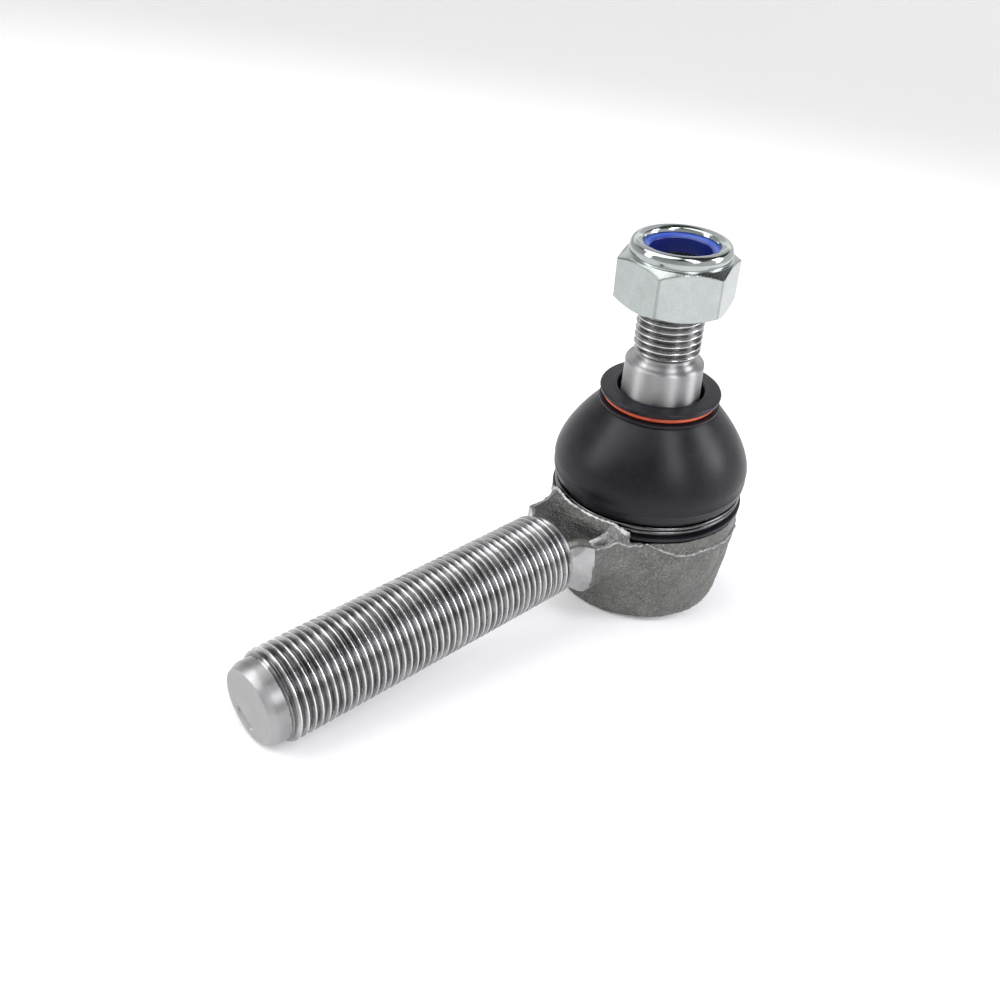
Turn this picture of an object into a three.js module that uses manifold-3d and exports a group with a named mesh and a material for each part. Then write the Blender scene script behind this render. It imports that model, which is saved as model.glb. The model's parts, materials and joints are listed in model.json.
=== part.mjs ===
// Tie rod end: a ball stud in a forged housing with a threaded shank.
// Millimetres. The stud points along +Z, the shank along -X, and the origin is the
// centre of the cover plate's outer face, which the housing stands on.
import * as THREE from "three";
import { mergeVertices } from "three/addons/utils/BufferGeometryUtils.js";
import Module from "manifold-3d";

const wasm = await Module();
wasm.setup();

const GAP = 0.3; // left between pieces that touch

// Ball joint
const BALL_Z = 20; // ball centre, and the height of the shank's axis
const BALL_R = 12.5;
const SEAT_WALL = 2.2;
const SEAT_R = BALL_R + GAP;
const SEAT_OUTER_R = SEAT_R + SEAT_WALL;
const BORE_R = SEAT_OUTER_R + GAP;
const SEAT_SPLIT = 0.15; // half the gap between the two seat halves

// Housing
const BASE_Z = 0.6; // edge of the rolled lip
const BASE_R = 18.75;
const BASE_ROUND = 1.2;
const LEDGE_Z = 23.2; // turned ledge under the boot
const LEDGE_R = 21.1;
const BODY_R = 20.2; // half way up, where the body is a little fuller than a cone
const BODY_Z = 11;
const SIDE_TOP_Z = 19.2; // the side is upright above this
const SPIGOT_R = 17.4; // the boot's collar grips this
const SPIGOT_LIP_R = 18.1;
const SPIGOT_LIP_LOW_Z = 27.1;
const SPIGOT_LIP_HIGH_Z = 28.2;
const SPIGOT_TOP_Z = 30.5;
const SPIGOT_TOP_R = 16.4;
const MOUTH_R = 12.9;
const MOUTH_FLARE_DEG = 53; // polar angle where the socket opens into the mouth
const CLEAR_R = 22; // turned clearance for the boot, cut into the neck
const LIP_OPEN_R = 12.5; // opening of the rolled lip
const LIP_THICK = 1.4;

// Cover plate and spring
const COVER_R = 15.9;
const COVER_BOSS_R = 12.1;
const COVER_TOP_Z = 4.4;
const SPRING_INNER_R = 6.6;
const SPRING_OUTER_R = 12.6;
const SPRING_THICK = 0.9;
const LOWER_SEAT_DROP = 11.4; // from the ball's centre to the foot of the lower seat

// Neck and shank, by distance from the stud axis
const NECK_FROM = 10; // well inside the body
const NECK_STRAIGHT_FROM = 24.6; // where its flare has ended
const NECK_TOP_Z = 25.7; // flat top, lower than the shank's top
const NECK_FOOT_Z = 11;
const NECK_HALF_WIDTH = 10;
const NECK_TAPER = 0.6; // how much narrower each side is at the shank's end
const NECK_CORNER_R = 11.2; // its corners are rounded to this about the shank's axis
const NECK_FLARE = 5.5; // how much wider and deeper it is where it leaves the body
const FILLET_R = 4.6; // turned, from the relief out to the neck's corners
const FILLET_START_DEG = 250;
const RELIEF_R = 7.9;
const RELIEF_FROM = 31.2;
const RELIEF_TO = 31.8;
const SHANK_THREAD_R = 9; // M18 major radius
const SHANK_THREAD_FROM = 32.4;
const SHANK_THREAD_TO = 99.9;
const THREAD_CHAMFER = 0.9;
const PILOT_R = 8;
const PILOT_TAPER = 1.8; // length over which the tip rounds in to its face
const END_FACE_R = 7.2;
const SHANK_END = 103.6;

// Ball stud
const STUD_NECK_R = 6.5;
const STUD_NECK_END_Z = 36;
const SEAT_BOTTOM_Z = 41;
const STUD_SEAT_LOW_R = 8.7;
const STUD_SEAT_TOP_R = 8.3;
const SEAT_TOP_Z = 55.2;
const SHOULDER_ROUND = 1;
const SHOULDER_TOP_R = 7.1;
const STUD_RELIEF_R = 6.4;
const STUD_THREAD_R = 7; // M14 major radius
const STUD_THREAD_FROM = 58.6;
const STUD_END_Z = 76.6;

// Lock nut
const NUT_ACROSS_FLATS = 22;
const NUT_TURN_DEG = 22; // how far its corners are turned from +X
const NUT_BOTTOM_Z = 68.8;
const NUT_HEX_TOP_Z = 79.3;
const NUT_TOP_Z = 82.2;
const NUT_CHAMFER_R = 10.3; // where the corner chamfers meet the end faces
const NUT_CHAMFER_OUT_R = 15; // clear of the corners
const CROWN_R = 10.6;
const CROWN_ROUND = 1.6;
const CROWN_OPEN_R = 7.65;
const INSERT_R = 9.1;
const INSERT_BORE_R = 6.25;
const INSERT_LOW_Z = 77.2;
const INSERT_TOP_Z = 80.8;

// Dust boot
const COLLAR_R = 21;
const COLLAR_LOW_Z = 23.5;
const COLLAR_GROOVE_R = 19.6;
const COLLAR_GROOVE_LOW_Z = 24.3;
const COLLAR_GROOVE_TOP_Z = 27.4;
const UNDERCUT_R = 20.5; // just above the clip's groove
const BELLY_LOW_R = 21.1;
const BELLY_LOW_Z = 29.6;
const BELLY_R = 21.3;
const BELLY_Z = 31.6;
const CONE_CURVE = 1.6;
const BOOT_WALL = 2.1;
const CONE_TOP_R = 12.35;
const CONE_TOP_Z = 46.3;
const NECK_LIP_R = 12.95;
const NECK_LIP_Z = 46.5;
const NECK_LIP_TOP_Z = 47;
const FLANGE_R = 12.95;
const FLANGE_HOLE_R = 9.2;
const FLANGE_LOW_Z = 48.5;
const FLANGE_TOP_Z = 49.8;
const RING_GROOVE_R = 10.55;
const RING_Z = 47.8;
const RING_R = 11.4;
const RING_WIRE_R = 0.5;

// Two-turn wire clip round the boot's collar
const CLIP_R = 20.35;
const CLIP_WIRE_R = 0.4;
const CLIP_LOW_Z = 24.95;
const CLIP_PITCH = 0.95;
const CLIP_TURNS = 2;

const ROUND = 48; // facets round a large piece
const FINE = 36; // facets round a small one

const finish = {
  forged: { color: 0x74716b, roughness: 0.75, metalness: 0.7 },
  ground: { color: 0xb4b4b4, roughness: 0.3, metalness: 1 },
  zinc: { color: 0xc9cfcd, roughness: 0.25, metalness: 1 },
  plated: { color: 0xa8a69c, roughness: 0.4, metalness: 1 },
  spring: { color: 0x3c3c40, roughness: 0.4, metalness: 0.9 },
  rubber: { color: 0x242428, roughness: 0.55, metalness: 0 },
  ring: { color: 0xc8552b, roughness: 0.45, metalness: 0 },
  nylon: { color: 0x1c2f8a, roughness: 0.4, metalness: 0 },
  acetal: { color: 0xe4e2da, roughness: 0.45, metalness: 0 },
};

const group = new THREE.Group();

function add(name, geometry, look) {
  const mesh = new THREE.Mesh(geometry, new THREE.MeshStandardMaterial(look));
  mesh.name = name;
  group.add(mesh);
}

// A closed geometry as a manifold-3d solid, with only its positions kept.
function solid(geometry) {
  const bare = geometry.clone();
  bare.deleteAttribute("normal");
  bare.deleteAttribute("uv");
  const merged = mergeVertices(bare, 1e-4);
  const mesh = new wasm.Mesh({
    numProp: 3,
    vertProperties: new Float32Array(merged.attributes.position.array),
    triVerts: new Uint32Array(merged.index.array),
  });
  return new wasm.Manifold(mesh);
}

function geometryOf(body) {
  const mesh = body.getMesh();
  const geometry = new THREE.BufferGeometry();
  const positions = new THREE.BufferAttribute(mesh.vertProperties, 3);
  geometry.setAttribute("position", positions);
  geometry.setIndex(new THREE.BufferAttribute(mesh.triVerts, 1));
  return geometry;
}

const radians = THREE.MathUtils.degToRad;

// Points of an arc, by angle from the +radius direction towards the +axis direction.
function arc(centreR, centreZ, radius, fromDeg, toDeg, steps) {
  const points = [];
  for (let i = 0; i <= steps; i++) {
    const angle = radians(fromDeg + ((toDeg - fromDeg) * i) / steps);
    points.push([
      centreR + radius * Math.cos(angle),
      centreZ + radius * Math.sin(angle),
    ]);
  }
  return points;
}

// A solid of revolution about Z from [radius, z] points, listed from the bottom up the
// outside and, for a hollow piece, down the inside.
function turned(points, facets) {
  const profile = points.map(([r, z]) => new THREE.Vector2(Math.max(r, 0), z));
  return new THREE.LatheGeometry(profile, facets).rotateX(Math.PI / 2);
}

function turnedRing(points, facets) {
  return turned([...points, points[0]], facets);
}

// The same about the shank's axis, from [radius, distance from the stud axis] points.
function turnedAlongShank(points, facets) {
  const profile = points.map(([r, d]) => new THREE.Vector2(r, d));
  const geometry = new THREE.LatheGeometry(profile, facets);
  return geometry.rotateZ(Math.PI / 2).translate(0, 0, BALL_Z);
}

// A prism from [x, y] outline points, reaching from z = 0 to the given depth.
function prism(points, depth) {
  const outline = points.map(([x, y]) => new THREE.Vector2(x, y));
  const options = { depth, bevelEnabled: false };
  return new THREE.ExtrudeGeometry(new THREE.Shape(outline), options);
}

// The forged neck: a flat-topped bar, wider and deeper where it leaves the body, with its
// corners and sides turned away to the relief at the shank's end.
function neck() {
  const bend = [0, 0.25, 0.5, 0.75, 1].map((t) => [
    NECK_FROM + (NECK_STRAIGHT_FROM - NECK_FROM) * t,
    NECK_FLARE * (1 - t) ** 2,
  ]);
  const sides = bend.map(([d, flare]) => [-d, NECK_HALF_WIDTH + flare]);
  sides.push([-RELIEF_TO, NECK_HALF_WIDTH - NECK_TAPER]);
  const mirrored = sides.map(([x, y]) => [x, -y]).reverse();
  const plan = prism([...sides, ...mirrored], BALL_Z + SHANK_THREAD_R);
  const feet = bend.map(([d, flare]) => [-d, NECK_FOOT_Z - flare]);
  const profile = [
    ...feet,
    [-RELIEF_TO, NECK_FOOT_Z],
    [-RELIEF_TO, NECK_TOP_Z],
    [-NECK_FROM, NECK_TOP_Z],
  ];
  const width = 4 * NECK_HALF_WIDTH;
  const side = prism(profile, width).rotateX(Math.PI / 2).translate(0, width / 2, 0);
  const corners = turnedAlongShank(
    [
      [0, NECK_FROM - 1],
      [NECK_CORNER_R + NECK_FLARE, NECK_FROM - 1],
      [NECK_CORNER_R + 0.25 * NECK_FLARE, (NECK_FROM + NECK_STRAIGHT_FROM) / 2],
      [NECK_CORNER_R, NECK_STRAIGHT_FROM],
      ...arc(RELIEF_R + FILLET_R, RELIEF_FROM, FILLET_R, FILLET_START_DEG, 180, 5),
      [RELIEF_R, RELIEF_TO],
      [0, RELIEF_TO],
    ],
    FINE,
  );
  return solid(plan).intersect(solid(side)).intersect(solid(corners));
}

function shank() {
  return solid(
    turnedAlongShank(
      [
        [0, RELIEF_FROM],
        [RELIEF_R, RELIEF_FROM],
        [RELIEF_R, RELIEF_TO],
        [SHANK_THREAD_R - THREAD_CHAMFER, RELIEF_TO + 0.1],
        [SHANK_THREAD_R, SHANK_THREAD_FROM],
        [SHANK_THREAD_R, SHANK_THREAD_TO - THREAD_CHAMFER],
        [PILOT_R, SHANK_THREAD_TO],
        [PILOT_R, SHANK_END - PILOT_TAPER],
        [PILOT_R - 0.25, SHANK_END - PILOT_TAPER / 2],
        [END_FACE_R, SHANK_END],
        [0, SHANK_END],
      ],
      FINE,
    ),
  );
}

function housing() {
  const body = solid(
    turned(
      [
        [0, BASE_Z],
        ...arc(BASE_R - BASE_ROUND, BASE_Z + BASE_ROUND, BASE_ROUND, -90, 0, 3),
        [BODY_R, BODY_Z],
        [LEDGE_R, SIDE_TOP_Z],
        [LEDGE_R, LEDGE_Z - 0.5],
        [LEDGE_R - 0.5, LEDGE_Z],
        [SPIGOT_R, LEDGE_Z],
        [SPIGOT_R, SPIGOT_LIP_LOW_Z - 0.3],
        [SPIGOT_LIP_R, SPIGOT_LIP_LOW_Z],
        [SPIGOT_LIP_R, SPIGOT_LIP_HIGH_Z],
        [SPIGOT_TOP_R, SPIGOT_TOP_Z],
        [0, SPIGOT_TOP_Z],
      ],
      ROUND,
    ),
  );
  const bootClearance = solid(
    turnedRing(
      [
        [SPIGOT_R, LEDGE_Z],
        [CLEAR_R, LEDGE_Z],
        [CLEAR_R, SPIGOT_TOP_Z],
        [SPIGOT_TOP_R, SPIGOT_TOP_Z],
        [SPIGOT_LIP_R, SPIGOT_LIP_HIGH_Z],
        [SPIGOT_LIP_R, SPIGOT_LIP_LOW_Z],
        [SPIGOT_R, SPIGOT_LIP_LOW_Z - 0.3],
      ],
      ROUND,
    ),
  );
  const mouthR = BORE_R * Math.sin(radians(MOUTH_FLARE_DEG));
  const mouthZ = BALL_Z + BORE_R * Math.cos(radians(MOUTH_FLARE_DEG));
  const cavity = solid(
    turned(
      [
        [0, BASE_Z - 1],
        [LIP_OPEN_R, BASE_Z - 1],
        [LIP_OPEN_R, BASE_Z + LIP_THICK],
        [COVER_R + GAP, BASE_Z + LIP_THICK],
        [COVER_R + GAP, COVER_TOP_Z + GAP],
        [BORE_R, COVER_TOP_Z + GAP],
        ...arc(0, BALL_Z, BORE_R, 0, 90 - MOUTH_FLARE_DEG, 6),
        [mouthR, mouthZ + 0.01],
        [MOUTH_R, SPIGOT_TOP_Z],
        [MOUTH_R, SPIGOT_TOP_Z + 1],
        [0, SPIGOT_TOP_Z + 1],
      ],
      ROUND,
    ),
  );
  const forging = body.add(neck()).add(shank());
  return geometryOf(forging.subtract(bootClearance).subtract(cavity));
}

// The plate sits in the counterbore, and its boss shows through the rolled lip.
function coverPlate() {
  const seatZ = BASE_Z + LIP_THICK + GAP;
  return turned(
    [
      [0, 0],
      [COVER_BOSS_R - 0.5, 0],
      [COVER_BOSS_R, 0.5],
      [COVER_BOSS_R, seatZ],
      [COVER_R, seatZ],
      [COVER_R, COVER_TOP_Z],
      [0, COVER_TOP_Z],
    ],
    ROUND,
  );
}

// A conical disc spring that rests on the plate and presses on the lower seat.
function discSpring() {
  const lowZ = COVER_TOP_Z + GAP;
  const highZ = lowerSeatBottom() - GAP;
  return turnedRing(
    [
      [SPRING_INNER_R, highZ - SPRING_THICK],
      [SPRING_OUTER_R, lowZ],
      [SPRING_OUTER_R, lowZ + SPRING_THICK],
      [SPRING_INNER_R, highZ],
    ],
    FINE,
  );
}

function lowerSeatBottom() {
  return BALL_Z - LOWER_SEAT_DROP;
}

function lowerSeat() {
  const bottom = lowerSeatBottom();
  const edge = (Math.acos((BALL_Z - bottom) / SEAT_R) * 180) / Math.PI;
  return turnedRing(
    [
      [SEAT_OUTER_R, bottom],
      [SEAT_OUTER_R, BALL_Z - SEAT_SPLIT],
      [SEAT_R, BALL_Z - SEAT_SPLIT],
      ...arc(0, BALL_Z, SEAT_R, -1.5, edge - 90, 7),
    ],
    FINE,
  );
}

function upperSeat() {
  return turnedRing(
    [
      ...arc(0, BALL_Z, SEAT_OUTER_R, 1, 90 - MOUTH_FLARE_DEG, 7),
      ...arc(0, BALL_Z, SEAT_R, 90 - MOUTH_FLARE_DEG - 4, 1, 7),
    ],
    FINE,
  );
}

function ballStud() {
  const neckDeg = (Math.acos(STUD_NECK_R / BALL_R) * 180) / Math.PI;
  return turned(
    [
      ...arc(0, BALL_Z, BALL_R, -90, neckDeg, 14),
      [STUD_NECK_R, STUD_NECK_END_Z],
      [STUD_SEAT_LOW_R, SEAT_BOTTOM_Z],
      [STUD_SEAT_TOP_R, SEAT_TOP_Z],
      ...arc(STUD_SEAT_TOP_R - SHOULDER_ROUND, SEAT_TOP_Z, SHOULDER_ROUND, 0, 80, 4),
      [SHOULDER_TOP_R, SEAT_TOP_Z + SHOULDER_ROUND + 0.1],
      [STUD_RELIEF_R, SEAT_TOP_Z + SHOULDER_ROUND + 0.8],
      [STUD_RELIEF_R, STUD_THREAD_FROM - 0.6],
      [STUD_THREAD_R, STUD_THREAD_FROM],
      [STUD_THREAD_R, STUD_END_Z - 1.2],
      [STUD_THREAD_R - 1.2, STUD_END_Z],
      [0, STUD_END_Z],
    ],
    FINE,
  );
}

// Radius of the boot's cone at a height above the belly; it curves in towards the neck.
function coneRadius(z) {
  const t = (z - BELLY_Z) / (CONE_TOP_Z - BELLY_Z);
  return BELLY_R - (BELLY_R - CONE_TOP_R) * t ** CONE_CURVE;
}

function dustBoot() {
  const outsideZ = [33.6, 36, 38.4, 40.6, 42.6, 44.4];
  const outside = [
    [COLLAR_R, COLLAR_LOW_Z],
    [COLLAR_R, COLLAR_GROOVE_LOW_Z - 0.1],
    [COLLAR_GROOVE_R, COLLAR_GROOVE_LOW_Z],
    [COLLAR_GROOVE_R, COLLAR_GROOVE_TOP_Z],
    [UNDERCUT_R, COLLAR_GROOVE_TOP_Z + 0.2],
    [BELLY_LOW_R, BELLY_LOW_Z],
    [BELLY_R, BELLY_Z],
    ...outsideZ.map((z) => [coneRadius(z), z]),
    [CONE_TOP_R, CONE_TOP_Z],
    [NECK_LIP_R, NECK_LIP_Z],
    [NECK_LIP_R, NECK_LIP_TOP_Z - 0.1],
    [RING_GROOVE_R, NECK_LIP_TOP_Z],
    [RING_GROOVE_R, FLANGE_LOW_Z],
    [FLANGE_R, FLANGE_LOW_Z],
    [FLANGE_R, FLANGE_TOP_Z],
  ];
  const insideZ = [44, 42, 39, 35.6];
  const inside = [
    [FLANGE_HOLE_R, FLANGE_TOP_Z],
    [FLANGE_HOLE_R, NECK_LIP_Z],
    ...insideZ.map((z) => [coneRadius(z) - BOOT_WALL, z]),
    [19.2, BELLY_Z],
    [18.7, 28.8],
    [18.5, 26.6],
    [SPIGOT_R + GAP, 26.3],
    [SPIGOT_R + GAP, COLLAR_LOW_Z],
  ];
  return turnedRing([...outside, ...inside], ROUND);
}

function bootNeckRing() {
  const ring = arc(RING_R, RING_Z, RING_WIRE_R, -90, 240, 11);
  return turnedRing(ring, FINE);
}

class ClipCurve extends THREE.Curve {
  getPoint(t, target = new THREE.Vector3()) {
    const angle = 2 * Math.PI * CLIP_TURNS * t;
    return target.set(
      CLIP_R * Math.cos(angle),
      CLIP_R * Math.sin(angle),
      CLIP_LOW_Z + CLIP_PITCH * CLIP_TURNS * t,
    );
  }
}

function bootBaseClip() {
  const section = new THREE.Shape();
  section.absarc(0, 0, CLIP_WIRE_R, 0, 2 * Math.PI);
  return new THREE.ExtrudeGeometry(section, {
    steps: 40 * CLIP_TURNS,
    curveSegments: 4,
    bevelEnabled: false,
    extrudePath: new ClipCurve(),
  });
}

function lockNut() {
  const cornerR = NUT_ACROSS_FLATS / Math.sqrt(3);
  const corners = [0, 1, 2, 3, 4, 5].map((i) => {
    const angle = radians(NUT_TURN_DEG + 60 * i);
    return [cornerR * Math.cos(angle), cornerR * Math.sin(angle)];
  });
  const hexagon = prism(corners, NUT_TOP_Z - NUT_BOTTOM_Z).translate(0, 0, NUT_BOTTOM_Z);
  const slope = Math.tan(radians(30));
  const rise = (NUT_CHAMFER_OUT_R - NUT_CHAMFER_R) * slope;
  const envelope = turned(
    [
      [0, NUT_BOTTOM_Z],
      [NUT_CHAMFER_R, NUT_BOTTOM_Z],
      [NUT_CHAMFER_OUT_R, NUT_BOTTOM_Z + rise],
      [NUT_CHAMFER_OUT_R, NUT_HEX_TOP_Z - rise],
      [CROWN_R, NUT_HEX_TOP_Z],
      ...arc(CROWN_R - CROWN_ROUND, NUT_TOP_Z - CROWN_ROUND, CROWN_ROUND, 0, 90, 4),
      [0, NUT_TOP_Z],
    ],
    FINE,
  );
  const bore = turned(
    [
      [0, NUT_BOTTOM_Z - 1],
      [STUD_THREAD_R + 1, NUT_BOTTOM_Z - 1],
      [STUD_THREAD_R + GAP, NUT_BOTTOM_Z + 0.6],
      [STUD_THREAD_R + GAP, INSERT_LOW_Z - GAP],
      [INSERT_R + GAP, INSERT_LOW_Z - GAP],
      [INSERT_R + GAP, INSERT_TOP_Z + GAP - 0.3],
      [CROWN_OPEN_R, INSERT_TOP_Z + GAP],
      [CROWN_OPEN_R, NUT_TOP_Z + 1],
      [0, NUT_TOP_Z + 1],
    ],
    FINE,
  );
  return geometryOf(
    solid(hexagon).intersect(solid(envelope)).subtract(solid(bore)),
  );
}

function nutInsert() {
  return turnedRing(
    [
      [INSERT_R, INSERT_LOW_Z],
      [INSERT_R, INSERT_TOP_Z - GAP - 0.3],
      [CROWN_OPEN_R - 0.4, INSERT_TOP_Z],
      [INSERT_BORE_R + 0.3, INSERT_TOP_Z],
      [INSERT_BORE_R, INSERT_TOP_Z - 0.3],
      [INSERT_BORE_R, INSERT_LOW_Z],
    ],
    FINE,
  );
}

add("housing", housing(), finish.forged);
add("cover_plate", coverPlate(), finish.plated);
add("disc_spring", discSpring(), finish.spring);
add("lower_ball_seat", lowerSeat(), finish.acetal);
add("upper_ball_seat", upperSeat(), finish.acetal);
add("ball_stud", ballStud(), finish.ground);
add("dust_boot", dustBoot(), finish.rubber);
add("boot_base_clip", bootBaseClip(), finish.spring);
add("boot_neck_ring", bootNeckRing(), finish.ring);
add("lock_nut", lockNut(), finish.zinc);
add("nut_insert", nutInsert(), finish.nylon);

export default group;
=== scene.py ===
# Tie rod end: the visible forging, threads, nut, boot and rings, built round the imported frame.
# Mesh code works in millimetres in the frame's own axes, and make() turns it into metres.
import json
import math

import bmesh
import bpy
import numpy as np
from mathutils import Matrix, Vector


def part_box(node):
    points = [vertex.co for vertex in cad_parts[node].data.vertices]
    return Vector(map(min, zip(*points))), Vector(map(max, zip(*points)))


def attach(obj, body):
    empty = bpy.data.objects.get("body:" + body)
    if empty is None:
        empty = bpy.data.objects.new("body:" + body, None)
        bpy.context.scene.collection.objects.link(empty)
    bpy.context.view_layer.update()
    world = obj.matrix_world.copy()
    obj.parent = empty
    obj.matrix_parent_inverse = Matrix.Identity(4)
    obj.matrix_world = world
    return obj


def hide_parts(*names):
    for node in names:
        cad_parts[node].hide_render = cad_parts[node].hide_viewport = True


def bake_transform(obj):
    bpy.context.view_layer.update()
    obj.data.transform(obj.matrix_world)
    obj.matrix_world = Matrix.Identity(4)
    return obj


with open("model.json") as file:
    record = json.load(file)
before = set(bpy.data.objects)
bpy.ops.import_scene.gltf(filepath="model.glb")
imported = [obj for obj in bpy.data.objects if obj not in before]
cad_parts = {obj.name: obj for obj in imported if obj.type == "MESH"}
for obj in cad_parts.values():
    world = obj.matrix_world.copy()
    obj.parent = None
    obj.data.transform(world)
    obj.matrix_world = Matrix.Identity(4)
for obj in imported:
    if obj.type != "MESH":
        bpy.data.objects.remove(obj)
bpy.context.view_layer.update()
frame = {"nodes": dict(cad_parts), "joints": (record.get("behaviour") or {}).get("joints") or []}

MM = 0.001


def low(node):
    return np.array(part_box(node)[0]) / MM


def high(node):
    return np.array(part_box(node)[1]) / MM


# Driving dimensions, in millimetres. Heights are above the cover plate's face.
BALL_Z = frame["joints"][0]["pos_m"][2] / MM
BALL_R = high("ball_stud")[0]
BASE_Z = low("housing")[2]
BASE_R = 18.75
LEDGE_Z = low("dust_boot")[2] - 0.3
LEDGE_R = high("housing")[1]
SPIGOT_TOP_Z = high("housing")[2]
SHANK_END = -low("housing")[0]
SHANK_TIP_R = 8.0
SHANK_THREAD_R = 9.0
SHANK_THREAD = (31.8, 100.1)
PITCH = 1.5
THREAD_DEPTH = 0.92
RUN_OUT = 0.12  # how far below the thread's root its two ends start
RELIEF_R = 7.9
STUD_END_Z = high("ball_stud")[2]
STUD_THREAD_R = 7.0
STUD_THREAD = (57.9, STUD_END_Z - 0.5)
SHOULDER_Z = 56.2
NUT_LOW_Z = low("lock_nut")[2]
NUT_TOP_Z = high("lock_nut")[2]
NUT_HEX_TOP_Z = 79.3
NUT_FLATS = 22.0
NUT_CORNER_R = 12.62
NUT_CHAMFER_LOW_R = 10.35
NUT_CHAMFER_TOP_R = 10.55
NUT_CHAMFER_DEG = 30
NUT_TURN = math.radians(22)
INSERT_LOW_Z = low("nut_insert")[2]
INSERT_TOP_Z = high("nut_insert")[2]
BELLY_R = high("dust_boot")[1]
BELLY_Z = 31.8
BOOT_SEAM_Z = 38.0
BOOT_WALL = 2.0
MOULD_LINE_Z = 29.9
FLANGE_TOP_Z = high("dust_boot")[2]
FLANGE_LOW_Z = FLANGE_TOP_Z - 1.3
FLANGE_R = 12.95
CONE_TOP_R = 12.35
CONE_TOP_Z = 46.3
RING_WIRE_R = 0.62
RING_R = high("boot_neck_ring")[1] - 0.3
RING_Z = (high("boot_neck_ring")[2] + low("boot_neck_ring")[2]) / 2
COVER_BOSS_R = 12.1
COVER_STEP_Z = 2.35


# ---------------------------------------------------------------- mesh helpers

def make(name, verts, faces, material, body=None, sharp=35.0):
    """A smooth-shaded, closed mesh object from millimetre points."""
    mesh = bpy.data.meshes.new(name)
    mesh.from_pydata([tuple(v) for v in np.asarray(verts, float) * MM], [], faces)
    work = bmesh.new()
    work.from_mesh(mesh)
    bmesh.ops.remove_doubles(work, verts=work.verts, dist=1e-7)
    bmesh.ops.dissolve_degenerate(work, edges=work.edges, dist=1e-8)
    bmesh.ops.recalc_face_normals(work, faces=work.faces)
    work.to_mesh(mesh)
    work.free()
    mesh.shade_smooth()
    mesh.set_sharp_from_angle(angle=math.radians(sharp))
    mesh.materials.append(material)
    obj = bpy.data.objects.new(name, mesh)
    bpy.context.scene.collection.objects.link(obj)
    if body:
        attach(obj, body)
    return obj


def mark(obj, name, function):
    """Keeps function(x, y, z), in millimetres, as a value at each point for the material to read."""
    points = np.array([v.co for v in obj.data.vertices]) / MM
    values = np.asarray(function(*points.T), np.float32)
    obj.data.attributes.new(name, "FLOAT", "POINT").data.foreach_set("value", values)


def rounded(corners, step=0.35):
    """A polyline through (r, z, fillet radius) corners, with each corner rounded by an arc."""
    points = []
    count = len(corners)
    for i, (r, z, fillet) in enumerate(corners):
        here = np.array([r, z], float)
        if fillet <= 0 or i in (0, count - 1):
            points.append(here)
            continue
        before = np.array(corners[i - 1][:2], float) - here
        after = np.array(corners[i + 1][:2], float) - here
        a, b = before / np.linalg.norm(before), after / np.linalg.norm(after)
        half = math.acos(float(np.clip(a @ b, -1, 1))) / 2
        if half > math.radians(89):
            points.append(here)
            continue
        reach = fillet / math.tan(half)
        limit = 0.49 * min(np.linalg.norm(before), np.linalg.norm(after))
        reach = min(reach, limit)
        radius = reach * math.tan(half)
        centre = here + (a + b) / np.linalg.norm(a + b) * math.hypot(reach, radius)
        start, end = here + a * reach - centre, here + b * reach - centre
        turn = math.atan2(start[0] * end[1] - start[1] * end[0], float(start @ end))
        steps = max(3, int(abs(turn) * radius / step) + 1, int(abs(turn) / 0.2))
        for k in range(steps + 1):
            c, s = math.cos(turn * k / steps), math.sin(turn * k / steps)
            points.append(centre + [c * start[0] - s * start[1], s * start[0] + c * start[1]])
    return np.array(points)


def filled(points, step):
    """The same polyline with its long stretches divided."""
    out = [points[0]]
    for a, b in zip(points[:-1], points[1:]):
        pieces = max(1, int(np.linalg.norm(b - a) / step))
        out += [a + (b - a) * k / pieces for k in range(1, pieces + 1)]
    return np.array(out)


def arc(centre_r, centre_z, radius, start, end, steps=24):
    angle = np.radians(np.linspace(start, end, steps + 1))
    return np.stack([centre_r + radius * np.cos(angle), centre_z + radius * np.sin(angle)], 1)


def turned_quads(facets, rows, closed):
    """Quads between neighbouring copies of a profile of so many rows, turned about Z."""
    faces = []
    for i in range(facets):
        j = (i + 1) % facets
        for k in range(rows if closed else rows - 1):
            m = (k + 1) % rows
            faces.append((i * rows + k, j * rows + k, j * rows + m, i * rows + m))
    return faces


def revolve(points, facets=192, closed=False):
    """Vertices and faces of (r, z) points turned about Z. closed joins the last point to the first."""
    angle = np.arange(facets) * 2 * math.pi / facets
    r, z = np.maximum(points[:, 0], 0), points[:, 1]
    verts = np.stack(
        [np.outer(np.cos(angle), r), np.outer(np.sin(angle), r), np.tile(z, (facets, 1))], -1
    ).reshape(-1, 3)
    return verts, turned_quads(facets, len(points), closed)


# Depth of a thread across one pitch: a narrow rounded crest at 0 and a rounded root at a half.
THREAD_SHAPE = [(0, 0.02), (0.05, 0.0), (0.09, 0.05), (0.16, 0.24), (0.3, 0.72), (0.37, 0.92),
                (0.44, 0.99), (0.5, 1.0), (0.56, 0.99), (0.63, 0.92), (0.7, 0.72), (0.84, 0.24),
                (0.91, 0.05), (0.95, 0.0)]


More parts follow.
